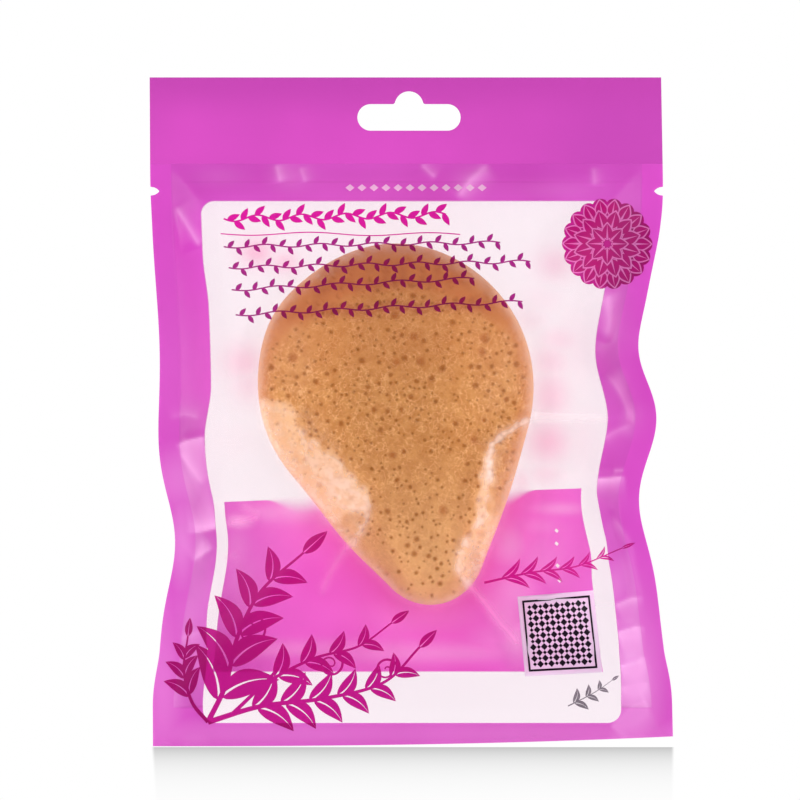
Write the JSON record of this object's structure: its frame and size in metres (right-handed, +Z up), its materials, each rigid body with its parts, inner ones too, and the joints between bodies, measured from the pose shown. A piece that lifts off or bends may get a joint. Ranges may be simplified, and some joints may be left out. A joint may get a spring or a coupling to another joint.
{
  "type": "konjac sponge in a hang pouch",
  "caption": "Teardrop konjac facial sponge sealed in a flat printed film pouch with a welded header, a hang hole and tear notches.",
  "frame": {"origin": "centre of the hang hole's slot, half way through the header", "axes": "+Z up the bag towards its top edge, -Y out of its front, +X to the viewer's right"},
  "size_m": [0.1596, 0.0312, 0.204],
  "materials": {
    "printed_film": "magenta print on frosted film, satin",
    "window_film": "frosted film, clear where it touches the sponge",
    "konjac_foam": "damp open-pored vegetable foam, matt"
  },
  "bodies": {
    "header": {"header_panel": "printed_film"},
    "pouch": {"front_film": "window_film", "back_film": "window_film", "left_side_seal": "printed_film", "right_side_seal": "printed_film", "bottom_seal": "printed_film"},
    "sponge": {"konjac_sponge": "konjac_foam"}
  },
  "joints": [
    {"name": "header_fold", "type": "hinge", "parent": "header", "child": "pouch", "pos_m": [0, 0, -0.0144], "axis": [1, 0, 0], "range_deg": [-90, 90]},
    {"name": "sponge_slip", "type": "slide", "parent": "pouch", "child": "sponge", "axis": [0, 0, 1], "range_m": [-0.004, 0.008]}
  ]
}
